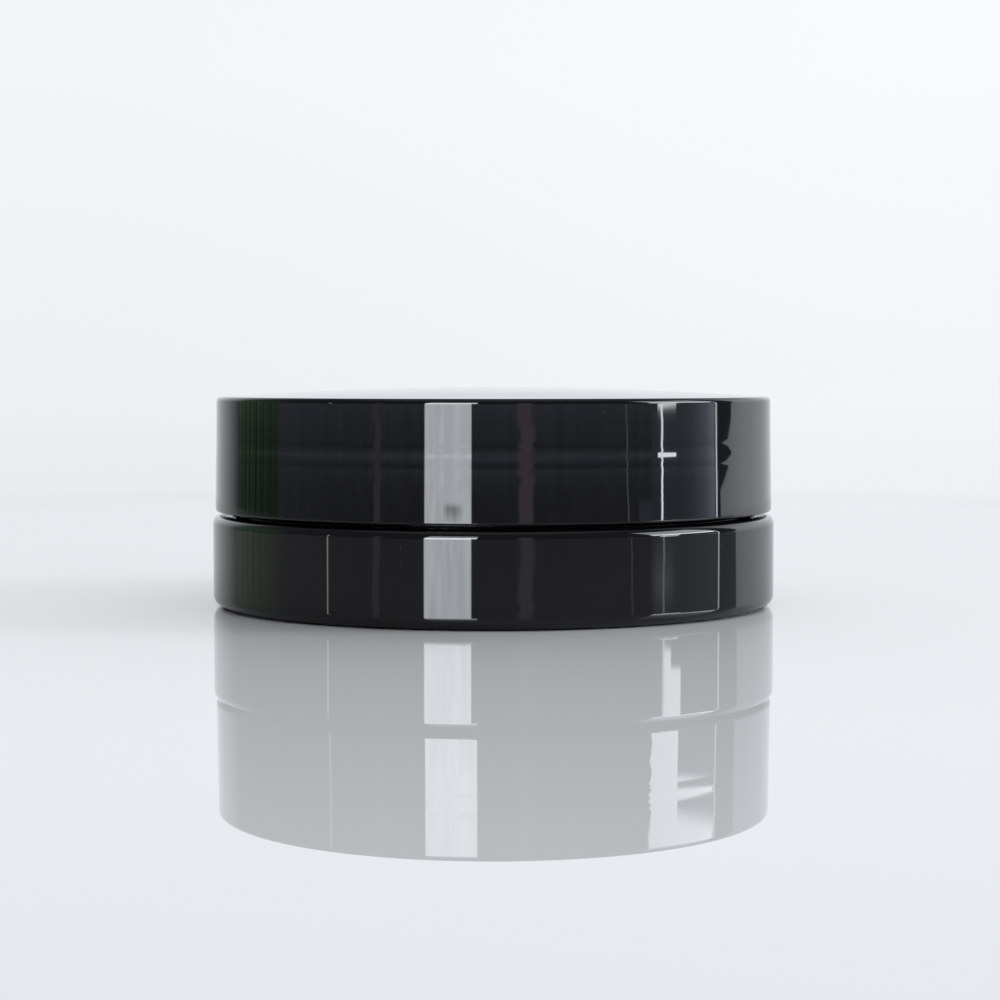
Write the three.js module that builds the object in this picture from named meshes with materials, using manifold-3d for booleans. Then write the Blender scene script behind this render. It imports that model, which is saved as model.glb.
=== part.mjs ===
// Cosmetic cream jar: a low, double-walled jar with a crowned screw lid.
//
// The jar is an outer shell with an inward shoulder, an inner cup that is pushed up through it from
// below, and a base plate that closes the shell and stands on its foot ring. The lid carries a
// two-start thread on its inside, holds a foam liner behind a bead, and covers a plug-in sealing disc
// with a fold-up tab.
//
// Millimetres, +Z up, origin on the axis at the surface that the jar stands on. The tab folds about X.
import * as THREE from 'three';
import { mergeVertices } from 'three/addons/utils/BufferGeometryUtils.js';
import Module from 'manifold-3d';

const wasm = await Module();
wasm.setup();

// Roundness and clearances.
const SEGMENTS = 60; // flat sides of every round piece
const LARGE_ARC_STEPS = 4; // on rounded edges in an outline
const SMALL_ARC_STEPS = 2;
const CROWN_STEPS = 5;
const TAB_ARC_STEPS = 16;
const FIT_GAP = 0.3; // between pieces that are pushed or glued together
const RUNNING_GAP = 0.4; // between the two threads, and between liner and lid
const SEAT_GAP = 0.05; // under the sealing disc's flange and above the liner

// Outer shell.
const BODY_RADIUS = 35;
const SHELL_WALL = 1.8;
const SHELL_FOOT_Z = 0.15; // the shell's own rim stays just clear of the surface
const FOOT_ROUND = 1.35;
const SHOULDER_Z = 11.45;
const SHOULDER_ROUND = 1.15;
const SHOULDER_THICKNESS = 1.85;

// Two-start thread, the same form on neck and lid.
const THREAD_STARTS = 2;
const THREAD_PITCH = 3;
const THREAD_LEAD = THREAD_STARTS * THREAD_PITCH;
const THREAD_DEPTH = 1.3;
const THREAD_ROOT_WIDTH = 1.4;
const THREAD_CREST_WIDTH = 0.6;
const THREAD_ROOTING = 0.4; // how far a ridge is sunk into its wall
const THREAD_STEPS = 68; // of one segment each
const THREAD_TAPER_STEPS = 3; // run-out at each end
const THREAD_CORNERS = 4; // of a ridge's section
const THREAD_FIRST_STEP = -72; // azimuth where the first start begins, in segments
const LID_THREAD_Z = 14.05; // the lid's ridge where a start begins
const THREAD_OFFSET = 1.3; // the neck's ridge runs this far above the lid's

// Inner cup.
const NECK_RADIUS = 30.6;
const CUP_WALL = 1.5;
const CUP_UNDERSIDE_Z = 2.3;
const CUP_FLOOR_Z = 3.8;
const CUP_INNER_ROUND = 4;
const CUP_OUTER_ROUND = 5;
const RIM_Z = 23.5;
const RIM_ROUND = 0.35;
const CUP_FLANGE_THICKNESS = 1.1;

// Base plate.
const PLATE_TOP_Z = 1.8;
const PLATE_RECESS = 0.6;
const FOOT_RING_WIDTH = 1.9;
const SUPPORT_RING_RADIUS = 23;
const SUPPORT_RING_WIDTH = 1.2;
const SHELL_SEAT_Z = 2.1; // top of the rebate that takes the plate
const SHELL_SEAT_DEPTH = 0.5;

// Lid.
const LID_FOOT_Z = 11.87;
const LID_FOOT_RADIUS = 34.65;
const LID_TOP_RADIUS = 34.5;
const LID_EDGE_Z = 26.02;
const LID_EDGE_ROUND = 0.6;
const LID_FOOT_ROUND = 0.25;
const LID_CROWN = 1.1;
const LID_CEILING_Z = 25;
const BEAD_HEIGHT = 0.7;
const BEAD_TOP_Z = 24.05;
const BEAD_UNDERCUT = 0.14; // slope of the bead's upper side
const BEAD_CREST_DROP = 0.35; // where the lead-in slope starts

// Liner and sealing disc.
const LINER_THICKNESS = 0.78;
const DISC_PLUG_DEPTH = 2.35;
const DISC_PLUG_WALL = 0.8;
const DISC_FLANGE_THICKNESS = 0.45;
const DISC_WEB_DROP = 1.1; // from the flange's top to the dished web
const DISC_WEB_THICKNESS = 0.6;

// Tab, folded flat in the dish.
const TAB_RADIUS = 10.5;
const TAB_THICKNESS = 0.7;
const TAB_LIFT = 0.25; // above the web
const HINGE_BAR_LENGTH = 17;
const HINGE_BAR_WIDTH = 1.2;
const HINGE_BAR_OFFSET = 1; // clears the tab when it stands up
const HINGE_BAR_HEIGHT = 0.7;
const HINGE_BAR_ROOTING = 0.2;

// Sizes that follow from the others.
const SHELL_BORE = BODY_RADIUS - SHELL_WALL;
const CREST_RADIUS = NECK_RADIUS + THREAD_DEPTH;
const SHOULDER_BORE = CREST_RADIUS + FIT_GAP;
const CUP_BORE = NECK_RADIUS - CUP_WALL;
const LID_BORE = CREST_RADIUS + RUNNING_GAP;
const LINER_RADIUS = LID_BORE - RUNNING_GAP;
const LINER_TOP_Z = LID_CEILING_Z - SEAT_GAP;
const DISC_FLANGE_Z = RIM_Z + SEAT_GAP;
const DISC_TOP_Z = DISC_FLANGE_Z + DISC_FLANGE_THICKNESS;
const DISC_WEB_Z = DISC_TOP_Z - DISC_WEB_DROP;
const DISC_PLUG_RADIUS = CUP_BORE - FIT_GAP;
const DISC_DISH_RADIUS = DISC_PLUG_RADIUS - DISC_PLUG_WALL;

const glossBlack = { color: 0x0b0b0d, roughness: 0.05, metalness: 0 };
const satinBlack = { color: 0x111113, roughness: 0.35, metalness: 0 };
const naturalWhite = { color: 0xe6e7e4, roughness: 0.4, metalness: 0 };
const foamWhite = { color: 0xf2f2ef, roughness: 0.8, metalness: 0 };

// Points of a circular arc in the [radius, height] plane, angles in degrees, both ends included.
function arc(centreR, centreZ, radius, fromDeg, toDeg, steps) {
	const points = [];
	for (let i = 0; i <= steps; i++) {
		const a = THREE.MathUtils.degToRad(fromDeg + (toDeg - fromDeg) * i / steps);
		points.push([centreR + radius * Math.cos(a), centreZ + radius * Math.sin(a)]);
	}
	return points;
}

// A [radius, height] outline, anticlockwise and turned about the axis. One that isn't on the axis closes on itself.
function revolve(outline) {
	const points = outline.map(([r, z]) => new THREE.Vector2(r, z));
	if (outline[0][0] > 0) points.push(points[0].clone());
	return new THREE.LatheGeometry(points, SEGMENTS).rotateX(Math.PI / 2);
}

function toSolid(geometry) {
	geometry.deleteAttribute('normal');
	geometry.deleteAttribute('uv');
	const merged = mergeVertices(geometry);
	return new wasm.Manifold(new wasm.Mesh({
		numProp: 3,
		vertProperties: merged.attributes.position.array,
		triVerts: new Uint32Array(merged.index.array),
	}));
}

function toGeometry(solid) {
	const mesh = solid.getMesh();
	const geometry = new THREE.BufferGeometry();
	geometry.setAttribute('position', new THREE.BufferAttribute(mesh.vertProperties, 3));
	geometry.setIndex(new THREE.BufferAttribute(mesh.triVerts, 1));
	geometry.computeVertexNormals();
	return geometry;
}

// One thread start: a trapezoidal ridge from rootRadius to crestRadius, climbing anticlockwise, that fades at its ends.
function threadRidge(rootRadius, crestRadius, startZ, firstStep) {
	const positions = [];
	const triangles = [];
	const outward = crestRadius > rootRadius;
	for (let i = 0; i <= THREAD_STEPS; i++) {
		const angle = (firstStep + i) * 2 * Math.PI / SEGMENTS;
		const z = startZ + THREAD_LEAD * i / SEGMENTS;
		const fade = Math.min(1, (Math.min(i, THREAD_STEPS - i) + 1) / (THREAD_TAPER_STEPS + 1));
		const crest = rootRadius + (crestRadius - rootRadius) * fade;
		const section = [
			[rootRadius, z - THREAD_ROOT_WIDTH / 2],
			[crest, z - THREAD_CREST_WIDTH / 2],
			[crest, z + THREAD_CREST_WIDTH / 2],
			[rootRadius, z + THREAD_ROOT_WIDTH / 2],
		];
		if (!outward) section.reverse();
		for (const [r, h] of section) positions.push(r * Math.cos(angle), r * Math.sin(angle), h);
	}
	const last = THREAD_STEPS * THREAD_CORNERS;
	for (let i = 0; i < last; i += THREAD_CORNERS) {
		for (let side = 0; side < THREAD_CORNERS; side++) {
			const a = i + side;
			const b = i + (side + 1) % THREAD_CORNERS;
			triangles.push(a, a + THREAD_CORNERS, b, b, a + THREAD_CORNERS, b + THREAD_CORNERS);
		}
	}
	triangles.push(0, 1, 2, 0, 2, 3);
	triangles.push(last, last + 2, last + 1, last, last + 3, last + 2);
	const geometry = new THREE.BufferGeometry();
	geometry.setAttribute('position', new THREE.Float32BufferAttribute(positions, 3));
	geometry.setIndex(triangles);
	return geometry;
}

// Adds every start of a thread to a round wall.
function withThread(wall, rootRadius, crestRadius, startZ) {
	let solid = toSolid(wall);
	for (let start = 0; start < THREAD_STARTS; start++) {
		const firstStep = THREAD_FIRST_STEP + start * SEGMENTS / THREAD_STARTS;
		solid = solid.add(toSolid(threadRidge(rootRadius, crestRadius, startZ, firstStep)));
	}
	return toGeometry(solid);
}

// Wall with rounded outer edges, an inward shoulder at the top and a rebate for the plate at the bottom.
function outerShell() {
	const footRadius = BODY_RADIUS - FOOT_ROUND;
	const shoulderRim = BODY_RADIUS - SHOULDER_ROUND;
	const shoulderUnderZ = SHOULDER_Z - SHOULDER_THICKNESS;
	return revolve([
		[SHELL_BORE, SHELL_FOOT_Z],
		...arc(footRadius, SHELL_FOOT_Z + FOOT_ROUND, FOOT_ROUND, -90, 0, LARGE_ARC_STEPS),
		...arc(shoulderRim, SHOULDER_Z - SHOULDER_ROUND, SHOULDER_ROUND, 0, 90, LARGE_ARC_STEPS),
		[SHOULDER_BORE, SHOULDER_Z],
		[SHOULDER_BORE, shoulderUnderZ],
		[SHELL_BORE - SHELL_SEAT_DEPTH / 2, shoulderUnderZ],
		[SHELL_BORE - SHELL_SEAT_DEPTH, SHELL_SEAT_Z + SHELL_SEAT_DEPTH],
		[SHELL_BORE - SHELL_SEAT_DEPTH, SHELL_SEAT_Z],
		[SHELL_BORE, SHELL_SEAT_Z],
	]);
}

// Vessel with a threaded neck, a collar that fills the shoulder's bore and a flange that stops under it.
function innerCup() {
	const flangeRadius = SHELL_BORE - SHELL_SEAT_DEPTH - FIT_GAP;
	const flangeTopZ = SHOULDER_Z - SHOULDER_THICKNESS - FIT_GAP;
	const flangeUnderZ = flangeTopZ - CUP_FLANGE_THICKNESS;
	const outerCentre = NECK_RADIUS - CUP_OUTER_ROUND;
	const innerCentre = CUP_BORE - CUP_INNER_ROUND;
	const wall = revolve([
		[0, CUP_UNDERSIDE_Z],
		...arc(outerCentre, CUP_UNDERSIDE_Z + CUP_OUTER_ROUND, CUP_OUTER_ROUND, -90, 0, LARGE_ARC_STEPS),
		[NECK_RADIUS, flangeUnderZ - CUP_FLANGE_THICKNESS],
		[flangeRadius, flangeUnderZ],
		[flangeRadius, flangeTopZ],
		[CREST_RADIUS, flangeTopZ],
		[CREST_RADIUS, SHOULDER_Z],
		[NECK_RADIUS, SHOULDER_Z],
		...arc(NECK_RADIUS - RIM_ROUND, RIM_Z - RIM_ROUND, RIM_ROUND, 0, 90, SMALL_ARC_STEPS),
		...arc(CUP_BORE + RIM_ROUND, RIM_Z - RIM_ROUND, RIM_ROUND, 90, 180, SMALL_ARC_STEPS),
		...arc(innerCentre, CUP_FLOOR_Z + CUP_INNER_ROUND, CUP_INNER_ROUND, 0, -90, LARGE_ARC_STEPS),
		[0, CUP_FLOOR_Z],
	]);
	return withThread(wall, NECK_RADIUS - THREAD_ROOTING, CREST_RADIUS, LID_THREAD_Z + THREAD_OFFSET);
}

// Disc that closes the shell: a foot ring round a shallow recess below, a ring that backs the cup above.
function basePlate() {
	const plateRadius = SHELL_BORE - FIT_GAP;
	return revolve([
		[0, PLATE_RECESS],
		[plateRadius - FOOT_RING_WIDTH, PLATE_RECESS],
		[plateRadius - FOOT_RING_WIDTH, 0],
		[plateRadius, 0],
		[plateRadius, PLATE_TOP_Z],
		[SUPPORT_RING_RADIUS + SUPPORT_RING_WIDTH, PLATE_TOP_Z],
		[SUPPORT_RING_RADIUS + SUPPORT_RING_WIDTH, CUP_UNDERSIDE_Z - FIT_GAP],
		[SUPPORT_RING_RADIUS, CUP_UNDERSIDE_Z - FIT_GAP],
		[SUPPORT_RING_RADIUS, PLATE_TOP_Z],
		[0, PLATE_TOP_Z],
	]);
}

// Crowned cap: the top is part of a sphere, the skirt tapers slightly, and a bead inside holds the liner.
function lid() {
	const footRim = LID_FOOT_RADIUS - LID_FOOT_ROUND;
	const crownRim = LID_TOP_RADIUS - LID_EDGE_ROUND;
	const apexZ = LID_EDGE_Z + LID_CROWN;
	const crownRadius = (crownRim ** 2 + LID_CROWN ** 2) / (2 * LID_CROWN);
	const crownDeg = THREE.MathUtils.radToDeg(Math.asin(crownRim / crownRadius));
	const footDeg = THREE.MathUtils.radToDeg(Math.atan2(LID_FOOT_RADIUS - LID_TOP_RADIUS, LID_EDGE_Z - LID_FOOT_Z));
	const wall = revolve([
		[LID_BORE + RUNNING_GAP, LID_FOOT_Z],
		...arc(footRim, LID_FOOT_Z + LID_FOOT_ROUND, LID_FOOT_ROUND, -90, footDeg, SMALL_ARC_STEPS),
		...arc(crownRim, LID_EDGE_Z - LID_EDGE_ROUND, LID_EDGE_ROUND, footDeg, 90 - crownDeg, LARGE_ARC_STEPS),
		...arc(0, apexZ - crownRadius, crownRadius, 90 - crownDeg, 90, CROWN_STEPS).slice(1, -1),
		[0, apexZ],
		[0, LID_CEILING_Z],
		[LID_BORE, LID_CEILING_Z],
		[LID_BORE, BEAD_TOP_Z],
		[LID_BORE - BEAD_HEIGHT, BEAD_TOP_Z - BEAD_UNDERCUT],
		[LID_BORE - BEAD_HEIGHT, BEAD_TOP_Z - BEAD_CREST_DROP],
		[LID_BORE, BEAD_TOP_Z - BEAD_HEIGHT],
		[LID_BORE, LID_FOOT_Z + RUNNING_GAP],
	]);
	return withThread(wall, LID_BORE + THREAD_ROOTING, NECK_RADIUS + RUNNING_GAP, LID_THREAD_Z);
}

function lidLiner() {
	return revolve([
		[0, LINER_TOP_Z - LINER_THICKNESS],
		[LINER_RADIUS, LINER_TOP_Z - LINER_THICKNESS],
		[LINER_RADIUS, LINER_TOP_Z],
		[0, LINER_TOP_Z],
	]);
}

// Dished disc: a flange over the cup's rim, a plug ring inside the bore, a web, and the bar of the tab's hinge.
function sealingDisc() {
	const plugFootZ = DISC_FLANGE_Z - DISC_PLUG_DEPTH;
	const webUnderZ = DISC_WEB_Z - DISC_WEB_THICKNESS;
	const disc = toSolid(revolve([
		[0, webUnderZ],
		[DISC_DISH_RADIUS, webUnderZ],
		[DISC_DISH_RADIUS, plugFootZ],
		[DISC_PLUG_RADIUS - DISC_PLUG_WALL / 2, plugFootZ],
		[DISC_PLUG_RADIUS, plugFootZ + DISC_PLUG_WALL],
		[DISC_PLUG_RADIUS, DISC_FLANGE_Z],
		[NECK_RADIUS, DISC_FLANGE_Z],
		[NECK_RADIUS, DISC_TOP_Z],
		[DISC_DISH_RADIUS, DISC_TOP_Z],
		[DISC_DISH_RADIUS - DISC_WEB_DROP / 2, DISC_WEB_Z],
		[0, DISC_WEB_Z],
	]));
	const barHeight = HINGE_BAR_HEIGHT + HINGE_BAR_ROOTING;
	const bar = new THREE.BoxGeometry(HINGE_BAR_LENGTH, HINGE_BAR_WIDTH, barHeight);
	const barMiddleZ = DISC_WEB_Z + HINGE_BAR_HEIGHT - barHeight / 2;
	bar.translate(0, HINGE_BAR_OFFSET + HINGE_BAR_WIDTH / 2, barMiddleZ);
	return toGeometry(disc.add(toSolid(bar)));
}

// Half-round flap. Its straight edge is the hinge line, at its own origin, and it reaches towards -Y.
function discTab() {
	const outline = new THREE.Shape();
	outline.moveTo(TAB_RADIUS, 0);
	outline.lineTo(-TAB_RADIUS, 0);
	outline.absarc(0, 0, TAB_RADIUS, Math.PI, 2 * Math.PI, false);
	const extrusion = { depth: TAB_THICKNESS, bevelEnabled: false, curveSegments: TAB_ARC_STEPS };
	return new THREE.ExtrudeGeometry(outline, extrusion);
}

function piece(name, geometry, material) {
	const mesh = new THREE.Mesh(geometry, new THREE.MeshStandardMaterial(material));
	mesh.name = name;
	return mesh;
}

const jar = new THREE.Group();
jar.add(
	piece('outer_shell', outerShell(), glossBlack),
	piece('inner_cup', innerCup(), satinBlack),
	piece('base_plate', basePlate(), satinBlack),
);

const closure = new THREE.Group();
closure.add(
	piece('lid', lid(), glossBlack),
	piece('lid_liner', lidLiner(), foamWhite),
);

const seal = new THREE.Group();
const tab = piece('disc_tab', discTab(), naturalWhite);
tab.position.set(0, 0, DISC_WEB_Z + TAB_LIFT);
seal.add(piece('sealing_disc', sealingDisc(), naturalWhite), tab);

const creamJar = new THREE.Group();
creamJar.add(jar, closure, seal);

export default creamJar;
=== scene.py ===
"""A low, gloss black cream jar, closed, on a glossy white table in a small studio.

Every piece of the jar is built here as a fine, closed mesh in the place of its plain CAD solid. Most are
round outlines turned about the jar's axis. The threads, the marks that they leave in the lid's skirt and the
retaining bead are relief on those surfaces. The studio is painted in the world's light: a white backdrop
behind the jar, a dark room behind the camera, and two windows that the black plastic mirrors.
"""

import functools
import math
from typing import NamedTuple

import bpy
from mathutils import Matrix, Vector


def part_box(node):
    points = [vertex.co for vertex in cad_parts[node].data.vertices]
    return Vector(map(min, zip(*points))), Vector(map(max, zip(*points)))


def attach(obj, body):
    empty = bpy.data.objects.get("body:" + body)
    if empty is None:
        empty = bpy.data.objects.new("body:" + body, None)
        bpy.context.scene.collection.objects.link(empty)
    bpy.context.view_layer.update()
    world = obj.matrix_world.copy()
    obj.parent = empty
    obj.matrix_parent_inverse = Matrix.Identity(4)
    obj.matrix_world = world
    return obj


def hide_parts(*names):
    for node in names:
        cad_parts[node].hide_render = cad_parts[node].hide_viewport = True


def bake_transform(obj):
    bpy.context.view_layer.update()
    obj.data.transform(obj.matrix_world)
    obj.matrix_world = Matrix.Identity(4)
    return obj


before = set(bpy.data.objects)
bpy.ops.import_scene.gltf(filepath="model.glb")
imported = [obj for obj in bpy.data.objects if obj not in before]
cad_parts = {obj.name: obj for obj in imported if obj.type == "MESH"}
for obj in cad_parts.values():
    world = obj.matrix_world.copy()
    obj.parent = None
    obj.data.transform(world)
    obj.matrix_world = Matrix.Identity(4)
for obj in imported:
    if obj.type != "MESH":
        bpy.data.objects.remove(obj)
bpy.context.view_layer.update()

MM = 0.001

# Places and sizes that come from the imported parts.
SHELL_LOW, SHELL_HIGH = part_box("outer_shell")
CUP_LOW, CUP_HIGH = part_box("inner_cup")
PLATE_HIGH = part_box("base_plate")[1]
LID_LOW, LID_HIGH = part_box("lid")
LINER_LOW, LINER_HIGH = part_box("lid_liner")
DISC_LOW, DISC_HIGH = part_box("sealing_disc")
TAB_LOW, TAB_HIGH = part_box("disc_tab")
BODY_RADIUS = SHELL_HIGH.x

# Roundness.
SEGMENTS = 360
ARC_STEP = math.radians(9)
SMOOTH_BELOW = math.radians(35)
EDGE = 0.15 * MM  # rounding of a moulded edge
GUARD = 0.03 * MM  # from the end of a rounding to the next row, so that a flat wall shades flat up to there
ON_AXIS = 1e-9  # smaller radii are on the jar's axis
MARGIN = MM / 10  # relief leaves a surface alone if it is this far from the one it belongs to
SAME_HEIGHT = MM / 100

# Outer shell.
SHELL_WALL = 1.8 * MM
FOOT_ROUND = 1.35 * MM
SHOULDER_ROUND = 1.15 * MM
SHOULDER_THICKNESS = 1.85 * MM
SHELL_ROW = 1 * MM
SHELL_SEAT_Z = 2.1 * MM
SHELL_SEAT_DEPTH = 0.5 * MM
FIT_GAP = 0.3 * MM

# Inner cup.
NECK_RADIUS = 30.6 * MM
CUP_WALL = 1.5 * MM
CUP_BOTTOM = 1.5 * MM
CUP_INNER_ROUND = 4 * MM
CUP_OUTER_ROUND = 5 * MM
RIM_ROUND = 0.4 * MM
CUP_FLANGE_THICKNESS = 1.1 * MM

# Base plate.
PLATE_THICKNESS = 1.2 * MM
PLATE_RECESS = 0.6 * MM
PLATE_EDGE = 0.2 * MM
FOOT_RING_WIDTH = 1.9 * MM
SUPPORT_RING_RADIUS = 23 * MM
SUPPORT_RING_WIDTH = 1.2 * MM
UNDERSIDE_RINGS = (9 * MM, 19 * MM, 27 * MM)
UNDERSIDE_RING_HALF = 0.35 * MM
UNDERSIDE_RING_HEIGHT = 0.15 * MM
UNDERSIDE_EDGE = 0.05 * MM
GATE_DIMPLE_RADIUS = 2 * MM
GATE_DIMPLE_DEPTH = 0.3 * MM
GATE_RADIUS = 0.6 * MM

# Thread, two starts.
THREAD_STARTS = 2
THREAD_LEAD = 6 * MM
THREAD_DEPTH = 1.3 * MM
THREAD_ROOT_HALF = 0.7 * MM
THREAD_CREST_HALF = 0.3 * MM
THREAD_FIRST_ANGLE = math.radians(-72)
THREAD_TURNS = 68 / 60
THREAD_FADE_TURNS = 0.05
LID_THREAD_Z = 14.05 * MM
NECK_THREAD_Z = 15.35 * MM
THREAD_ROW = 0.08 * MM  # spacing of the mesh's rows where the thread is

# Lid.
LID_TOP_RADIUS = 34.5 * MM
LID_EDGE_ROUND = 0.6 * MM
LID_FOOT_ROUND = 0.25 * MM
LID_CROWN = 1.1 * MM
LID_CROWN_RINGS = 24
LID_CEILING_Z = 25 * MM
LID_CEILING_ROUND = 0.5 * MM
LID_BORE = 32.3 * MM
LID_LEAD_IN = 0.4 * MM
BEAD_HEIGHT = 0.7 * MM
BEAD_Z = 23.7 * MM
BEAD_HALF = 0.35 * MM
BEAD_COUNT = 6
BEAD_END = -0.5  # its arcs end where a cosine round the bore falls to this
BEAD_STEEPNESS = 2
SKIRT_ROW = 0.1 * MM
# The skirt's outside sinks a little where the wall is thick.
# This is how far it tilts up, in degrees, at heights in mm.
SKIRT_TILTS = ((13.6, 0), (14.6, 0.12), (17.45, 0.6), (18.1, 0.7), (18.35, -0.35), (18.7, 0.3), (19.2, 0.62),
               (19.6, 1.05), (19.95, 0.5), (20.35, 0.2), (20.75, -0.6), (21.2, 0), (22, 0))

# Liner.
LINER_GROOVE_HALF = 1.1 * MM
LINER_GROOVE_DEPTH = 0.07 * MM

# Sealing disc and tab.
DISC_PLUG_WALL = 0.8 * MM
DISC_PLUG_LEAD_IN = 0.5 * MM
DISC_FLANGE_THICKNESS = 0.45 * MM
DISC_WEB_DROP = 1.1 * MM
DISC_WEB_THICKNESS = 0.6 * MM
HINGE_BAR_LENGTH = 17 * MM
HINGE_BAR_WIDTH = 1.2 * MM
HINGE_BAR_OFFSET = 1 * MM
HINGE_BAR_HEIGHT = 0.7 * MM
HINGE_BAR_ROOTING = 0.2 * MM
HINGE_BAR_EDGE = 0.2 * MM
HINGE_BAR_EDGE_STEPS = 6
HINGE_BAR_END_SHARE = 0.9  # how much of its half width the ends' rounding takes
HINGE_FILM_LENGTH = 16.6 * MM
HINGE_FILM_Y = (-0.6 * MM, 1.1 * MM)  # from under the tab to inside the bar
HINGE_FILM_THICKNESS = 0.18 * MM
HINGE_FILM_OVERLAP = MM / 50
HINGE_FILM_STEPS = 24
GRIP_RIBS = 4
GRIP_RIB_HEIGHT = 0.12 * MM
GRIP_RIB_HALF = 0.42 * MM
GRIP_RIB_PITCH = 1.2 * MM
GRIP_FIRST_Y = -4.4 * MM
TAB_EDGE = 0.2 * MM
TAB_ROW = 0.15 * MM
TAB_STEPS = 120

# Gloss black.
GLOSS_IOR = 1.5
GLOSS_COLOUR = (0.0022, 0.0022, 0.0026)
HAZE_SIZE = 14 * MM
HAZE_LEVELS = (0.45, 0.75)
HAZE_ROUGHNESS = (0.02, 0.055)
DUST_COLOUR = (0.16, 0.16, 0.17)
DUST_SPACING = 0.9 * MM
DUST_SPECK = (0.03, 0.05)
DUST_PATCH_SIZE = 5 * MM
DUST_LEVELS = (0.56, 0.66)
DUST_ROUGHNESS = 0.6
WAVE_SIZE = 7 * MM
WAVE_DEPTH = 0.0012 * MM

# Satin black.
SATIN_IOR = 1.49
SATIN_PATCH_SIZE = 9 * MM
SATIN_COLOURS = ((0.006, 0.006, 0.007), (0.010, 0.010, 0.011))
SATIN_ROUGHNESS = (0.28, 0.42)
GRAIN_SIZE = 0.16 * MM
GRAIN_DEPTH = 0.003 * MM

# Natural polyethylene.
NATURAL_IOR = 1.5
NATURAL_DEPTH = 0.8 * MM  # how far light gets into it
NATURAL_SHARE = 0.35  # of the light that gets in
NATURAL_PATCH_SIZE = 6 * MM
NATURAL_COLOURS = ((0.74, 0.76, 0.74), (0.82, 0.83, 0.81))
NATURAL_WIPE_SIZE = 3 * MM
NATURAL_ROUGHNESS = (0.28, 0.45)
NATURAL_BUMP_SIZE = 0.4 * MM
NATURAL_BUMP_DEPTH = 0.008 * MM

# Foam.
FOAM_IOR = 1.45
FOAM_CELL = 0.38 * MM
FOAM_CELL_DEPTH = 0.05 * MM
FOAM_COLOURS = ((0.80, 0.80, 0.79), (0.90, 0.90, 0.89))
FOAM_ROUGHNESS = (0.45, 0.8)
FOAM_LEVELS = (0, 0.6)

NOISE_LEVELS = (0.3, 0.7)  # most of a noise pattern lies between these

# Camera: its place in jar radii, its lens, and where it points.
CAMERA_DISTANCE = 8.726 * BODY_RADIUS
CAMERA_HEIGHT = 0.823 * BODY_RADIUS
CAMERA_LENS_MM = 87.65
CAMERA_SENSOR_MM = 36
CAMERA_PITCH = math.radians(2.97)
CAMERA_YAW = math.radians(0.154)

# Table: its size, and the distances from the jar over which its gloss fades out and its brightness settles.
FLOOR_SIZE = 60
FLOOR_IOR = 1.5
GLOSS_END = (6 * BODY_RADIUS, 9 * BODY_RADIUS)
SETTLING = (9 * BODY_RADIUS, 70 * BODY_RADIUS)
NEAR_FLOOR = (0.685, 0.705, 0.735)
FLOOR_GLOSS = 0.85
MIRRORED_FLOOR = 0.7  # how bright the near table is in the jar's gloss
BACKDROP_TINT = (0.985, 0.998, 1.03)
BACKDROP_LOW = 0.88
BACKDROP_HIGH = 0.925
BACKDROP_TOP = 7  # degrees
SIDE_CHANGE = (-0.014, 0.03)  # of the backdrop's brightness, on the left and on the right
SIDE_CHANGE_AT = 0.2  # share of a direction that has to point sideways for all of that change
FAR_START = 0.96  # brightness where the gloss has ended, as a share of the backdrop's

# Diffuse light: a sky, and a wide lamp on the right. Together they make a white floor white.
SKY = 0.88
SKY_TILT = 0.7  # it is this much brighter on the right and darker on the left
LAMP_ELEVATION = 15  # degrees
LAMP_WIDTH = 20  # degrees


# ---------------------------------------------------------------- outlines and surfaces


def rounded(corners):
    """Points of an outline given as (radius, height, rounding) corners, with an arc at each rounding."""
    points = []
    count = len(corners)
    for i, (r, z, rounding) in enumerate(corners):
        here = Vector((r, z))
        if rounding == 0:
            points.append(here)
            continue
        before = (Vector(corners[i - 1][:2]) - here).normalized()
        after = (Vector(corners[(i + 1) % count][:2]) - here).normalized()
        half = before.angle(after) / 2
        centre = here + (before + after).normalized() * (rounding / math.sin(half))
        start = here + before * (rounding / math.tan(half)) - centre
        turn = before.angle_signed(-after)
        steps = max(2, math.ceil(abs(turn) / ARC_STEP))
        for k in range(steps + 1):
            angle = -turn * k / steps
            across = Vector((start.x * math.cos(angle) - start.y * math.sin(angle),
                             start.x * math.sin(angle) + start.y * math.cos(angle)))
            points.append(centre + across)
    return points


def straight(start, end, row):
    """Corners along a straight stretch, no further apart than row, for relief to work on."""
    start, end = Vector(start), Vector(end)
    rows = math.ceil((end - start).length / row)
    return [(*start.lerp(end, k / rows), 0) for k in range(rows + 1)]


def crown(rim_radius, rim_z, height, rings):
    """Corners of a spherical cap seen from the side, from its rim to just before its middle."""
    sphere = (rim_radius ** 2 + height ** 2) / (2 * height)
    corners = []
    for k in range(rings):
        r = rim_radius * (1 - k / rings)
        corners.append((r, rim_z + height - sphere + math.sqrt(sphere ** 2 - r ** 2), 0))
    return corners


def new_piece(name, vertices, faces):
    """A mesh object that shades smooth, apart from edges that turn by more than SMOOTH_BELOW."""
    mesh = bpy.data.meshes.new(name)
    mesh.from_pydata(vertices, [], faces)
    mesh.shade_smooth()
    mesh.set_sharp_from_angle(angle=SMOOTH_BELOW)
    piece = bpy.data.objects.new(name, mesh)
    bpy.context.scene.collection.objects.link(piece)
    return piece


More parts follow.
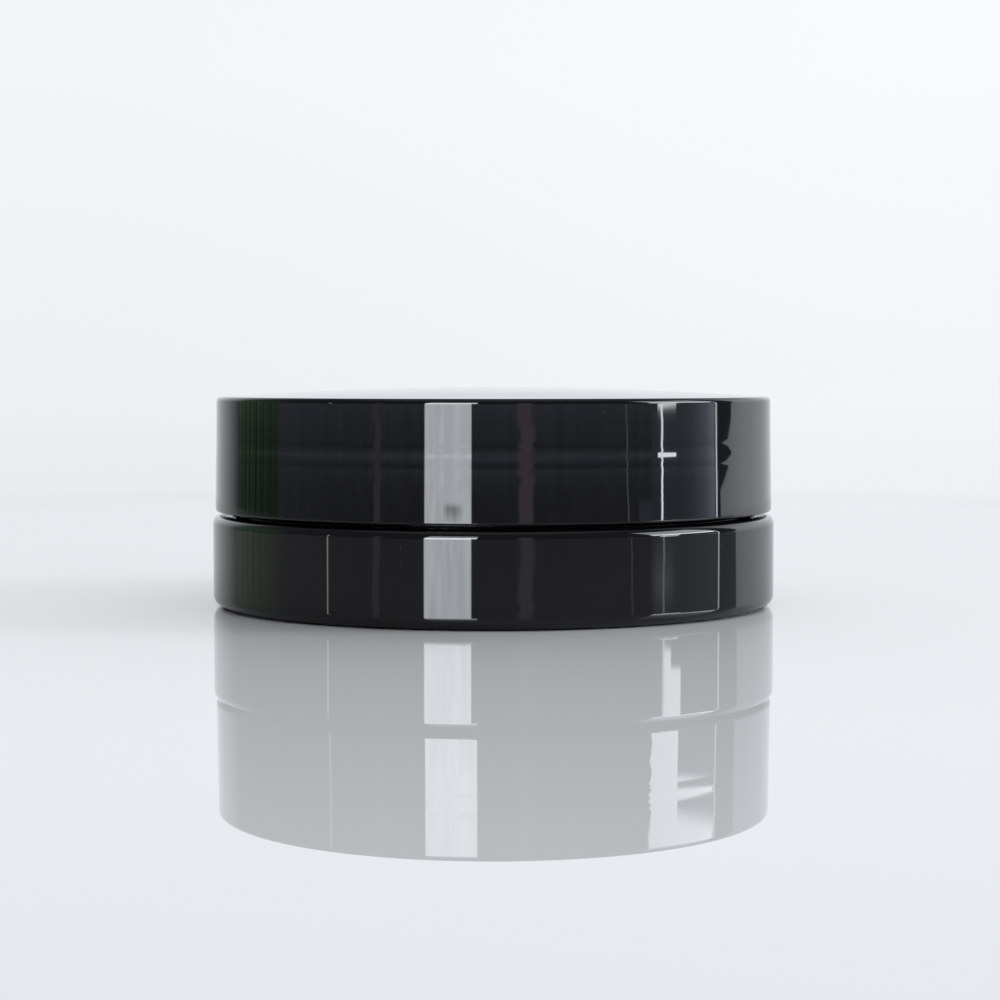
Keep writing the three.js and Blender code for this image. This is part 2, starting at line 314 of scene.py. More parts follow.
def revolve(name, corners, relief=None):
    """A closed piece turned about the jar's axis. relief(angle, r, z) gives how far out a point is pushed."""
    points = rounded(corners)
    vertices = []
    rings = []
    for point in points:
        on_axis = point.x < ON_AXIS
        ring = []
        for k in range(1 if on_axis else SEGMENTS):
            angle = 2 * math.pi * k / SEGMENTS
            r = point.x
            if relief and not on_axis:
                r += relief(angle, point.x, point.y)
            ring.append(len(vertices))
            vertices.append((r * math.cos(angle), r * math.sin(angle), point.y))
        rings.append(ring)
    open_outline = len(rings[0]) == 1
    pairs = zip(rings, rings[1:] if open_outline else rings[1:] + rings[:1])
    faces = []
    for low, high in pairs:
        for k in range(SEGMENTS):
            following = (k + 1) % SEGMENTS
            corner_ids = [low[k % len(low)], low[following % len(low)],
                          high[following % len(high)], high[k % len(high)]]
            faces.append(list(dict.fromkeys(corner_ids)))
    return new_piece(name, vertices, faces)


def smooth_step(x):
    x = min(1, max(0, x))
    return x * x * (3 - 2 * x)


# ---------------------------------------------------------------- relief


def thread_height(angle, z, first_z):
    """How much of a ridge there is at a point, from 0 to 1, on a two-start thread that fades at its ends."""
    height = 0
    for start in range(THREAD_STARTS):
        first_angle = THREAD_FIRST_ANGLE + 2 * math.pi * start / THREAD_STARTS
        turns = ((angle - first_angle) / (2 * math.pi)) % 1
        while turns <= THREAD_TURNS:
            off = abs(z - first_z - THREAD_LEAD * turns)
            flank = smooth_step((THREAD_ROOT_HALF - off) / (THREAD_ROOT_HALF - THREAD_CREST_HALF))
            end = min(turns, THREAD_TURNS - turns) / THREAD_FADE_TURNS
            height = max(height, flank * smooth_step(end))
            turns += 1
    return height


def neck_relief(angle, r, z):
    """The thread stands out from the cup's neck, and from nothing else."""
    if r < NECK_RADIUS - MARGIN or z < NECK_THREAD_Z - THREAD_ROOT_HALF:
        return 0
    return THREAD_DEPTH * thread_height(angle, z, NECK_THREAD_Z)


def bead_height(angle, z):
    """A bead in short arcs with gaps between them, from 0 to 1."""
    across = smooth_step(1 - abs(z - BEAD_Z) / BEAD_HALF)
    along = smooth_step(BEAD_STEEPNESS * (math.cos(BEAD_COUNT * angle) - BEAD_END))
    return across * along


def hump(place, centre, half_width):
    """A smooth hump along a line, from 0 at its edges to 1 at its middle."""
    off = min(1, abs(place - centre) / half_width)
    return (1 + math.cos(math.pi * off)) / 2


@functools.cache
def skirt_sink(z):
    """How far out the skirt stands at a height, from its tilts summed down from the top."""
    out = 0
    for (low, low_tilt), (high, high_tilt) in zip(SKIRT_TILTS, SKIRT_TILTS[1:]):
        share = min(1, max(0, (high - z / MM) / (high - low)))
        reached = high_tilt + (low_tilt - high_tilt) * share
        out += math.radians((high_tilt + reached) / 2) * share * (high - low) * MM
    return out


def lid_relief(angle, r, z):
    """Thread and bead stand in from the bore, and the skirt's outside sinks where the wall is thick."""
    if r > LID_BORE + MARGIN:
        return skirt_sink(z)
    if z < LID_THREAD_Z - THREAD_ROOT_HALF or z > LID_CEILING_Z - MARGIN:
        return 0
    thread = thread_height(angle, z, LID_THREAD_Z)
    return -THREAD_DEPTH * thread - BEAD_HEIGHT * bead_height(angle, z)


def grip_relief(x, y, z, top_z):
    """Straight ribs across the end of the tab, on its top only. They fade out toward its rim."""
    if z < top_z - SAME_HEIGHT:
        return 0
    ribs = sum(hump(y, GRIP_FIRST_Y - k * GRIP_RIB_PITCH, GRIP_RIB_HALF) for k in range(GRIP_RIBS))
    end = (math.sqrt(max(0, TAB_HIGH.x ** 2 - y ** 2)) - abs(x)) / MM
    return GRIP_RIB_HEIGHT * ribs * smooth_step(end - 1)


# ---------------------------------------------------------------- the jar's pieces


def outer_shell():
    """A straight wall with a rounded shoulder and foot, and a ledge in its bore above the base plate."""
    bore = BODY_RADIUS - SHELL_WALL
    shoulder_bore = NECK_RADIUS + THREAD_DEPTH + FIT_GAP
    under_shoulder_z = SHELL_HIGH.z - SHOULDER_THICKNESS
    seat_radius = bore - SHELL_SEAT_DEPTH
    return revolve("outer_shell_moulding", [
        (bore, SHELL_LOW.z, EDGE),
        (BODY_RADIUS, SHELL_LOW.z, FOOT_ROUND),
        *straight((BODY_RADIUS, SHELL_LOW.z + FOOT_ROUND + GUARD),
                  (BODY_RADIUS, SHELL_HIGH.z - SHOULDER_ROUND - GUARD), SHELL_ROW),
        (BODY_RADIUS, SHELL_HIGH.z, SHOULDER_ROUND),
        (shoulder_bore, SHELL_HIGH.z, EDGE),
        (shoulder_bore, under_shoulder_z, EDGE),
        (seat_radius + SHELL_SEAT_DEPTH / 2, under_shoulder_z, EDGE),
        (seat_radius, SHELL_SEAT_Z + SHELL_SEAT_DEPTH, 0),
        (seat_radius, SHELL_SEAT_Z, EDGE),
        (bore, SHELL_SEAT_Z, EDGE),
    ])


def inner_cup():
    """The cup, its flange under the shell's shoulder, and its neck with the thread."""
    bore = NECK_RADIUS - CUP_WALL
    flange_radius = CUP_HIGH.x
    flange_top_z = SHELL_HIGH.z - SHOULDER_THICKNESS - FIT_GAP
    flange_under_z = flange_top_z - CUP_FLANGE_THICKNESS
    collar_radius = NECK_RADIUS + THREAD_DEPTH
    thread_low = NECK_THREAD_Z - THREAD_ROOT_HALF - MM
    return revolve("inner_cup_moulding", [
        (0, CUP_LOW.z, 0),
        (NECK_RADIUS, CUP_LOW.z, CUP_OUTER_ROUND),
        (NECK_RADIUS, flange_under_z - CUP_FLANGE_THICKNESS, EDGE),
        (flange_radius, flange_under_z, EDGE),
        (flange_radius, flange_top_z, EDGE),
        (collar_radius, flange_top_z, EDGE),
        (collar_radius, SHELL_HIGH.z, EDGE),
        (NECK_RADIUS, SHELL_HIGH.z, EDGE),
        *straight((NECK_RADIUS, thread_low), (NECK_RADIUS, CUP_HIGH.z - RIM_ROUND - EDGE), THREAD_ROW),
        (NECK_RADIUS, CUP_HIGH.z, RIM_ROUND),
        (bore, CUP_HIGH.z, RIM_ROUND),
        (bore, CUP_LOW.z + CUP_BOTTOM, CUP_INNER_ROUND),
        (0, CUP_LOW.z + CUP_BOTTOM, 0),
    ], neck_relief)


def base_plate():
    """A plate with a foot ring and a ring under the cup, and with rings and a gate mark underneath."""
    radius = PLATE_HIGH.x
    recess_radius = radius - FOOT_RING_WIDTH
    top_z = PLATE_RECESS + PLATE_THICKNESS
    support_outer = SUPPORT_RING_RADIUS + SUPPORT_RING_WIDTH
    dimple_z = PLATE_RECESS + GATE_DIMPLE_DEPTH
    gate_z = PLATE_RECESS + GATE_DIMPLE_DEPTH / 2
    ring_z = PLATE_RECESS - UNDERSIDE_RING_HEIGHT
    rings = []
    for middle in UNDERSIDE_RINGS:
        rings += [
            (middle - UNDERSIDE_RING_HALF, PLATE_RECESS, UNDERSIDE_EDGE),
            (middle - UNDERSIDE_RING_HALF / 2, ring_z, UNDERSIDE_EDGE),
            (middle + UNDERSIDE_RING_HALF / 2, ring_z, UNDERSIDE_EDGE),
            (middle + UNDERSIDE_RING_HALF, PLATE_RECESS, UNDERSIDE_EDGE),
        ]
    return revolve("base_plate_moulding", [
        (0, gate_z, 0),
        (GATE_RADIUS, gate_z, UNDERSIDE_EDGE),
        (GATE_RADIUS, dimple_z, UNDERSIDE_EDGE),
        (GATE_DIMPLE_RADIUS, dimple_z, PLATE_EDGE),
        (GATE_DIMPLE_RADIUS + GATE_DIMPLE_DEPTH, PLATE_RECESS, PLATE_EDGE),
        *rings,
        (recess_radius, PLATE_RECESS, PLATE_EDGE),
        (recess_radius, 0, PLATE_EDGE),
        (radius, 0, PLATE_EDGE),
        (radius, top_z, PLATE_EDGE),
        (support_outer, top_z, PLATE_EDGE / 2),
        (support_outer, PLATE_HIGH.z, PLATE_EDGE / 2),
        (SUPPORT_RING_RADIUS, PLATE_HIGH.z, PLATE_EDGE / 2),
        (SUPPORT_RING_RADIUS, top_z, PLATE_EDGE / 2),
        (0, top_z, 0),
    ])


def lid():
    """A crowned top and a straight skirt, with the thread and the bead inside."""
    foot_radius = LID_HIGH.x
    edge_z = LID_HIGH.z - LID_CROWN
    skirt_low = Vector((foot_radius, LID_LOW.z))
    skirt_high = Vector((LID_TOP_RADIUS, edge_z))

    def on_skirt(z):
        return skirt_low.lerp(skirt_high, (z - skirt_low.y) / (skirt_high.y - skirt_low.y))

    skirt_start = on_skirt(LID_LOW.z + LID_FOOT_ROUND + GUARD)
    skirt_end = on_skirt(edge_z - LID_EDGE_ROUND - GUARD)
    crown_rim = LID_TOP_RADIUS - 2 * LID_EDGE_ROUND
    return revolve("lid_moulding", [
        (LID_BORE + LID_LEAD_IN, LID_LOW.z, 0),
        (*skirt_low, LID_FOOT_ROUND),
        *straight(skirt_start, skirt_end, SKIRT_ROW),
        (*skirt_high, LID_EDGE_ROUND),
        *crown(crown_rim, edge_z, LID_CROWN, LID_CROWN_RINGS),
        (0, LID_HIGH.z, 0),
        (0, LID_CEILING_Z, 0),
        (LID_BORE, LID_CEILING_Z, LID_CEILING_ROUND),
        *straight((LID_BORE, LID_CEILING_Z - LID_CEILING_ROUND - MARGIN),
                  (LID_BORE, LID_THREAD_Z - THREAD_ROOT_HALF), THREAD_ROW),
        (LID_BORE, LID_LOW.z + LID_LEAD_IN, 0),
    ], lid_relief)


def lid_liner():
    """A foam disc with the shallow groove that the cup's rim presses into it."""
    groove_radius = NECK_RADIUS - CUP_WALL / 2
    low = LINER_LOW.z
    return revolve("lid_liner_disc", [
        (0, low, 0),
        (groove_radius - LINER_GROOVE_HALF, low, 0),
        (groove_radius - LINER_GROOVE_HALF / 2, low + LINER_GROOVE_DEPTH, 0),
        (groove_radius + LINER_GROOVE_HALF / 2, low + LINER_GROOVE_DEPTH, 0),
        (groove_radius + LINER_GROOVE_HALF, low, 0),
        (LINER_HIGH.x, low, EDGE),
        (LINER_HIGH.x, LINER_HIGH.z, EDGE),
        (0, LINER_HIGH.z, 0),
    ])


def sealing_disc():
    """A dished disc with a plug that goes into the cup and a flange that lies on its rim."""
    plug_radius = NECK_RADIUS - CUP_WALL - FIT_GAP
    dish_radius = plug_radius - DISC_PLUG_WALL
    flange_z = DISC_HIGH.z - DISC_FLANGE_THICKNESS
    web_z = DISC_HIGH.z - DISC_WEB_DROP
    web_under_z = web_z - DISC_WEB_THICKNESS
    return revolve("sealing_disc_moulding", [
        (0, web_under_z, 0),
        (dish_radius, web_under_z, EDGE),
        (dish_radius, DISC_LOW.z, EDGE),
        (plug_radius - DISC_PLUG_WALL / 2, DISC_LOW.z, EDGE),
        (plug_radius, DISC_LOW.z + DISC_PLUG_LEAD_IN, EDGE),
        (plug_radius, flange_z, 0),
        (DISC_HIGH.x, flange_z, EDGE),
        (DISC_HIGH.x, DISC_HIGH.z, EDGE),
        (dish_radius, DISC_HIGH.z, EDGE),
        (dish_radius - DISC_WEB_DROP / 2, web_z, EDGE),
        (0, web_z, 0),
    ])


def disc_tab():
    """A half-round flap with rounded edges and grip ribs, flat along its hinge line."""
    radius = TAB_HIGH.x
    top_z = TAB_HIGH.z - GRIP_RIB_HEIGHT
    profile = rounded([
        (0, TAB_LOW.z, 0),
        (radius, TAB_LOW.z, TAB_EDGE),
        (radius, top_z, TAB_EDGE),
        *straight((radius - 2 * TAB_EDGE, top_z), (TAB_ROW, top_z), TAB_ROW),
        (0, top_z, 0),
    ])
    around = profile[1:-1]
    vertices = [(0, 0, TAB_LOW.z), (0, 0, top_z)]
    for step in range(TAB_STEPS + 1):
        angle = math.pi + math.pi * step / TAB_STEPS
        for point in around:
            x = point.x * math.cos(angle)
            y = point.x * math.sin(angle)
            vertices.append((x, y, point.y + grip_relief(x, y, point.y, top_z)))
    faces = []
    columns = [range(2 + step * len(around), 2 + (step + 1) * len(around)) for step in range(TAB_STEPS + 1)]
    for left, right in zip(columns, columns[1:]):
        faces.append([0, right[0], left[0]])
        faces.append([1, left[-1], right[-1]])
        for k in range(len(around) - 1):
            faces.append([left[k], right[k], right[k + 1], left[k + 1]])
    faces.append([1, 0, *columns[0]])
    faces.append([0, 1, *reversed(columns[-1])])
    return new_piece("disc_tab_flap", vertices, faces)


def stack(name, rings):
    """A closed piece from rings of points, one above the other, with a flat bottom and top."""
    count = len(rings[0])
    faces = [list(reversed(range(count)))]
    for low in range(0, count * (len(rings) - 1), count):
        for k in range(count):
            following = (k + 1) % count
            faces.append([low + k, low + following, low + count + following, low + count + k])
    faces.append(list(range(count * (len(rings) - 1), count * len(rings))))
    return new_piece(name, [point for ring in rings for point in ring], faces)


def hinge_bar():
    """The low bar with rounded ends and edges that the tab's living hinge is moulded to."""
    bottom_z = DISC_HIGH.z - DISC_WEB_DROP - HINGE_BAR_ROOTING
    top_z = bottom_z + HINGE_BAR_ROOTING + HINGE_BAR_HEIGHT
    middle_y = HINGE_BAR_OFFSET + HINGE_BAR_WIDTH / 2
    end_round = HINGE_BAR_WIDTH / 2 * HINGE_BAR_END_SHARE
    levels = [(0, bottom_z)]
    for k in range(HINGE_BAR_EDGE_STEPS + 1):
        angle = math.pi / 2 * k / HINGE_BAR_EDGE_STEPS
        inset = HINGE_BAR_EDGE * (1 - math.cos(angle))
        levels.append((inset, top_z - HINGE_BAR_EDGE + HINGE_BAR_EDGE * math.sin(angle)))
    rings = []
    for inset, z in levels:
        across = HINGE_BAR_LENGTH / 2 - inset
        along = HINGE_BAR_WIDTH / 2 - inset
        corners = [(across, -along), (across, along), (-across, along), (-across, -along)]
        outline = rounded([(x, y, end_round - inset) for x, y in corners])
        rings.append([(point.x, middle_y + point.y, z) for point in outline])
    return stack("hinge_bar", rings)


def hinge_film():
    """The living hinge: a thin web from under the tab into the bar, with enough rows to bend smoothly."""
    high = TAB_LOW.z + HINGE_FILM_OVERLAP
    low = high - HINGE_FILM_THICKNESS
    half = HINGE_FILM_LENGTH / 2
    edge = HINGE_FILM_THICKNESS / 3
    start, end = HINGE_FILM_Y
    rings = []
    for k in range(HINGE_FILM_STEPS + 1):
        y = end + (start - end) * k / HINGE_FILM_STEPS
        section = rounded([(-half, low, edge), (half, low, edge), (half, high, edge), (-half, high, edge)])
        rings.append([(point.x, y, point.y) for point in section])
    return stack("living_hinge", rings)


# ---------------------------------------------------------------- materials


class Nodes:
    """A node tree, and short ways to add to it. Values are sockets or constants."""

    def __init__(self, tree, coordinates):
        self.tree = tree
        self.coordinates = self.node("ShaderNodeTexCoord").outputs[coordinates]

    def node(self, kind, **settings):
        node = self.tree.nodes.new(kind)
        for name, value in settings.items():
            setattr(node, name, value)
        return node

    def fill(self, node_input, value):
        """Links a socket, or sets a constant."""
        if isinstance(value, bpy.types.NodeSocket):
            self.tree.links.new(value, node_input)
        elif node_input.type == "RGBA":
            node_input.default_value = (*value, 1)
        else:
            node_input.default_value = value

    def axes(self):
        node = self.node("ShaderNodeSeparateXYZ")
        self.fill(node.inputs[0], self.coordinates)
        return node.outputs

    def number(self, operation, *values):
        node = self.node("ShaderNodeMath", operation=operation)
        for node_input, value in zip(node.inputs, values):
            self.fill(node_input, value)
        return node.outputs[0]

    def ramp(self, value, start, end, low=0, high=1, interpolation="SMOOTHSTEP"):
        """Goes from low to high while the value goes from start to end."""
        node = self.node("ShaderNodeMapRange", interpolation_type=interpolation)
        for node_input, setting in zip(node.inputs, (value, start, end, low, high)):
            self.fill(node_input, setting)
        return node.outputs[0]

    def noise(self, feature_size, detail=2):
        """Soft patches about feature_size across."""
        node = self.node("ShaderNodeTexNoise")
        self.fill(node.inputs["Vector"], self.coordinates)
        self.fill(node.inputs["Scale"], 1 / feature_size)
        self.fill(node.inputs["Detail"], detail)
        return node.outputs["Fac"]

    def mix(self, factor, below, above):
        """A colour between two."""
        node = self.node("ShaderNodeMix", data_type="RGBA")
        colours = [node_input for node_input in node.inputs if node_input.type == "RGBA"]
        for node_input, value in zip((node.inputs[0], *colours), (factor, below, above)):
            self.fill(node_input, value)
        return next(output for output in node.outputs if output.type == "RGBA")

    def scaled(self, colour, strength):
        node = self.node("ShaderNodeVectorMath", operation="SCALE")
        self.fill(node.inputs[0], colour)
        self.fill(node.inputs["Scale"], strength)
        return node.outputs[0]


class Shader(Nodes):
    """A new material with a Principled shader. Its patterns are measured in metres on the piece."""

    def __init__(self, name):
        self.material = bpy.data.materials.new(name)
        self.material.use_nodes = True
        super().__init__(self.material.node_tree, "Object")
        self.principled = self.tree.nodes["Principled BSDF"]

    def set(self, **values):
        for name, value in values.items():
            self.fill(self.principled.inputs[name.replace("_", " ")], value)

    def cells(self, cell_size, output="Distance"):
        node = self.node("ShaderNodeTexVoronoi")
        self.fill(node.inputs["Vector"], self.coordinates)
        self.fill(node.inputs["Scale"], 1 / cell_size)
        return node.outputs[output]

    def mix_shader(self, factor, below, above):
        node = self.node("ShaderNodeMixShader")
        for node_input, value in zip(node.inputs, (factor, below, above)):
            self.fill(node_input, value)
        return node.outputs[0]

    def bump(self, height, depth):
        """Bump where height 1 stands depth metres above height 0."""
        node = self.node("ShaderNodeBump")
        self.fill(node.inputs["Distance"], depth)
        self.fill(node.inputs["Height"], height)
        self.set(Normal=node.outputs["Normal"])


def gloss_black():
    """Polished black moulding: mirror-like, with a little waviness, haze and dust."""
    shader = Shader("gloss_black")
    haze = shader.ramp(shader.noise(HAZE_SIZE, detail=3), *HAZE_LEVELS, *HAZE_ROUGHNESS)
    specks = shader.ramp(shader.cells(DUST_SPACING), *DUST_SPECK, 1, 0)
    patches = shader.ramp(shader.noise(DUST_PATCH_SIZE), *DUST_LEVELS)
    dust = shader.number("MULTIPLY", specks, patches)
    shader.set(
        IOR=GLOSS_IOR,
        Base_Color=shader.mix(dust, GLOSS_COLOUR, DUST_COLOUR),
        Roughness=shader.number("MAXIMUM", haze, shader.number("MULTIPLY", dust, DUST_ROUGHNESS)),
    )
    shader.bump(shader.noise(WAVE_SIZE, detail=1), WAVE_DEPTH)
    return shader.material


def satin_black():
    """Black polypropylene with a fine spark-eroded grain."""
    shader = Shader("satin_black")
    grain = shader.noise(GRAIN_SIZE)
    shader.set(
        IOR=SATIN_IOR,
        Base_Color=shader.mix(shader.noise(SATIN_PATCH_SIZE, detail=3), *SATIN_COLOURS),
        Roughness=shader.ramp(grain, *NOISE_LEVELS, *SATIN_ROUGHNESS),
    )
    shader.bump(grain, GRAIN_DEPTH)
    return shader.material


def natural_white():
    """Waxy natural polyethylene, a little translucent."""
    shader = Shader("natural_white")
    shader.set(
        IOR=NATURAL_IOR,
        Subsurface_Weight=NATURAL_SHARE,
        Subsurface_Scale=NATURAL_DEPTH,
        Base_Color=shader.mix(shader.noise(NATURAL_PATCH_SIZE, detail=3), *NATURAL_COLOURS),
        Roughness=shader.ramp(shader.noise(NATURAL_WIPE_SIZE), *NOISE_LEVELS, *NATURAL_ROUGHNESS),
    )
    shader.bump(shader.noise(NATURAL_BUMP_SIZE), NATURAL_BUMP_DEPTH)
    return shader.material


def white_foam():
    """Closed-cell polyethylene foam with a thin skin."""
    shader = Shader("white_foam")
    cells = shader.cells(FOAM_CELL)
    shader.set(
        IOR=FOAM_IOR,
        Base_Color=shader.mix(shader.cells(FOAM_CELL, "Color"), *FOAM_COLOURS),
        Roughness=shader.ramp(cells, *FOAM_LEVELS, *FOAM_ROUGHNESS),
    )
    shader.bump(cells, -FOAM_CELL_DEPTH)
    return shader.material


# ---------------------------------------------------------------- floor, studio light and camera


def floor():
    """A glossy white table that fades with distance into a matte copy of the backdrop, so no far edge shows.

    The jar's own gloss looks past the far table, into the studio below the horizon.
    """
    half = FLOOR_SIZE / 2
    table = new_piece("table", [(-half, -half, 0), (half, -half, 0), (half, half, 0), (-half, half, 0)],
                      [(0, 1, 2, 3)])
    shader = Shader("glossy_white")
    shader.tree.nodes.remove(shader.principled)
    length = shader.node("ShaderNodeVectorMath", operation="LENGTH")
    shader.fill(length.inputs[0], shader.coordinates)
    distance = length.outputs["Value"]
    far = shader.ramp(distance, *GLOSS_END)
    mirrored = shader.node("ShaderNodeLightPath").outputs["Is Glossy Ray"]

    # Painted light: where the gloss has faded, the table's matte colour takes the backdrop's brightness in
    # place of the backdrop it would mirror, rising with distance. It is painted lighter on the right and
    # darker on the left, as the backdrop is.
    near_end, far_end = (math.log(limit) for limit in SETTLING)
    nearness = shader.number("LOGARITHM", distance, math.e)
    settled = shader.ramp(nearness, near_end, far_end, FAR_START * BACKDROP_LOW, BACKDROP_LOW)
    side = shader.number("DIVIDE", shader.axes()["X"], distance)
    side_change = shader.ramp(side, -SIDE_CHANGE_AT, SIDE_CHANGE_AT, *SIDE_CHANGE)
    far_colour = shader.scaled(BACKDROP_TINT, shader.number("ADD", settled, side_change))
    colour = shader.mix(far, NEAR_FLOOR, far_colour)

    matte = shader.node("ShaderNodeBsdfDiffuse")
    # Painted reflection: the table's colour is darker, by MIRRORED_FLOOR, where the jar's gloss mirrors it
    # than where the camera sees it.
    shader.fill(matte.inputs["Color"], shader.scaled(colour, shader.ramp(mirrored, 0, 1, 1, MIRRORED_FLOOR)))
    gloss = shader.node("ShaderNodeBsdfGlossy")
    shader.fill(gloss.inputs["Color"], (1, 1, 1))
    shader.fill(gloss.inputs["Roughness"], 0)
    fresnel = shader.node("ShaderNodeFresnel")
    shader.fill(fresnel.inputs["IOR"], FLOOR_IOR)
    near_gloss = shader.number("MULTIPLY", fresnel.outputs[0], shader.ramp(far, 0, 1, FLOOR_GLOSS, 0))
    surface = shader.mix_shader(near_gloss, matte.outputs[0], gloss.outputs[0])
    nothing = shader.node("ShaderNodeBsdfTransparent").outputs[0]
    looked_past = shader.number("MULTIPLY", far, mirrored)
    output = shader.tree.nodes["Material Output"]
    shader.fill(output.inputs["Surface"], shader.mix_shader(looked_past, surface, nothing))
    table.data.materials.append(shader.material)


class Card(NamedTuple):
    """A bright or dark patch of the studio that the jar mirrors.

    Azimuths go from the camera's side round to the right, and elevations up from the horizon, in degrees.
    radiance has (elevation, radiance) stops, and across has (azimuth, factor) stops. A leaning card's
    azimuths grow with the distance from the horizon, and a wedge's left edge cuts in just below it. ragged
    moves the sides by up to so many degrees. streaks varies the radiance by so much from one upright strip
    to the next, and mottle varies it in patches.
    """
    azimuths: tuple
    elevations: tuple
    radiance: tuple
    colour: tuple = (0.96, 1.0, 1.05)
    side_softness: float = 0.3
    end_softness: float = 0.3
    across: tuple = ()
    leaning: bool = False
    wedge: bool = False
    ragged: float = 0
    streaks: float = 0
    mottle: float = 0


BELOW = -12
TOP = 40
ONE_MIRROR_DEPTH = 2.5  # a camera ray that the table alone has mirrored reaches the studio below this depth

# Colours, and (elevation, radiance) stops.
ROOM_COLOUR = (0.95, 1.0, 1.22)
ROOM_RADIANCE = ((-2.4, 0.20), (-1.5, 0.22), (-0.7, 0.26), (0, 0.33), (0.6, 0.49), (1.2, 0.45), (3, 0.15))
BACK_COLOUR = (0.97, 1.0, 1.03)
BACK_RADIANCE = ((0, 0.88), (4, 1.0), (7, 1.02), (8.5, 1.17), (20, 1.2), (45, 0.4))
TABLE_MIRRORS = ((0, 0.88), (3, 0.91), (4.2, 0.93), (6.5, 0.99), (8, 1.06), (9.5, 1.1), (14, 1.17))
RIGHT_WINDOW = ((7, 15), (14, 16.5), (18, 5))
LEFT_WINDOW = ((0.5, 8.8), (4, 15), (7, 17), (12, 20), (14, 20), (18, 5))
PANEL_COLOUR = (0.87, 0.98, 1.21)
PLANT_COLOUR = (0.13, 0.21, 0.13)
WALL_COLOUR = (0.9, 1.0, 1.3)
DARK_WOOD = (0.55, 0.44, 0.50)
PALE_WOOD = (0.74, 0.62, 0.68)
LAMP_COLOUR = (1.0, 0.98, 0.9)

# How cards can differ from plain rectangles.
RAGGED_SCALE = 1.3  # bends per degree of elevation
STREAK_SCALE = 0.6  # strips per degree of azimuth
LINE_NOISE_LEVELS = (0.25, 0.75)  # most of the noise along a line lies between these
MOTTLE_SIZE = 1 / 22  # of a patch, in radians
ROOM_MOTTLE = 0.12
LEAN = 0.4  # degrees of azimuth per degree of elevation
LEAN_END = 7.5
WEDGE = ((-3.6, 0), (-2.9, 9), (-1.8, 9), (-0.5, 0.4), (-0.2, 0))  # (elevation, how far the edge cuts in)

# Painted one over another.
STUDIO = (
    # Behind the jar: the backdrop, fading in on the left.
    Card((-200, -127), (BELOW, 70), BACK_RADIANCE, side_softness=1.5, end_softness=8,
         across=((-165, 1), (-150, 0.88), (-140, 0.72), (-133, 0.5), (-127, 0.2))),
    # Plants beside it.
    Card((-127, -97), (BELOW, 25), ((-2, 0.7), (-0.7, 0.9), (0, 1.4)), PLANT_COLOUR,
         side_softness=2, end_softness=6, streaks=0.6),
    # The wall and the backdrop on the right.
    Card((102.4, 130), (BELOW, 50), ((0, 0.11),), WALL_COLOUR),
    Card((112.8, 200), (BELOW, 70), BACK_RADIANCE, end_softness=8, leaning=True, wedge=True,
         across=((120, 1.5), (130, 1.25), (145, 1))),
    # The window on the right: a curtain with bright gaps in it, and two frame lines.
    Card((60, 66.5), (BELOW, -1.8), ((0, 0.42),), PANEL_COLOUR, side_softness=0.6),
    Card((66.5, 101), (BELOW, 2), ((-1.3, 0.48), (-0.2, 0.6)), PANEL_COLOUR, side_softness=0.8,
         across=((74, 0.75), (80, 0.72), (87, 0.9), (95, 1.6), (100, 2.6))),
    Card((66.5, 101), (2, 12.5), ((0, 0.42),), PANEL_COLOUR, side_softness=0.8),
    Card((66.5, 75.5), (3.7, 5.5), ((3.9, 0.5), (4.9, 1.4), (5.4, 0.9)), side_softness=3, end_softness=0.4),
    Card((69.3, 78.5), (0.18, 3), ((0, 15),), end_softness=0.08),
    Card((70.8, 75), (6.45, TOP), RIGHT_WINDOW, end_softness=0.1),
    Card((70.8, 80), (6.9, TOP), RIGHT_WINDOW, end_softness=0.1),
    Card((66.3, 79), (8.4, TOP), RIGHT_WINDOW, end_softness=0.1, ragged=0.5),
    Card((66.3, 101), (11.2, TOP), RIGHT_WINDOW, ragged=1),
    Card((70.8, 71.7), (BELOW, 8), ((0.3, 14), (3, 3.5), (5.8, 3.5), (6.2, 9)),
         side_softness=0.2, ragged=0.3),
    Card((101.7, 102.6), (BELOW, TOP), ((0, 6.5),), side_softness=0.15),
    Card((54.2, 54.8), (BELOW, 6), ((0, 1.1),), side_softness=0.15, leaning=True, ragged=0.4),
    # The window on the left, behind the camera.
    Card((-27.3, -8.7), (BELOW, 34), LEFT_WINDOW, end_softness=1, mottle=0.12),
    Card((-12, -6.5), (8.6, 34), LEFT_WINDOW, end_softness=0.4, mottle=0.12),
    Card((-19, -12.5), (-2.2, -1.75), ((0, 4),), side_softness=1.5, end_softness=0.2, mottle=0.5),
    # Wooden frames and a lamp.
    Card((-48.6, -45.8), (BELOW, 20), ((0, 1),), DARK_WOOD, side_softness=0.6, end_softness=3, ragged=0.8),
    Card((10, 15.5), (BELOW, 20), ((0, 1),), PALE_WOOD, side_softness=0.8, end_softness=3, ragged=1.5),
    Card((-69.4, -68.8), (3, 14), ((0, 6),), LAMP_COLOUR, side_softness=0.2, end_softness=1),
    # The ceiling.
    Card((-200, 200), (60, 100), ((0, 0.4),), end_softness=8),
)


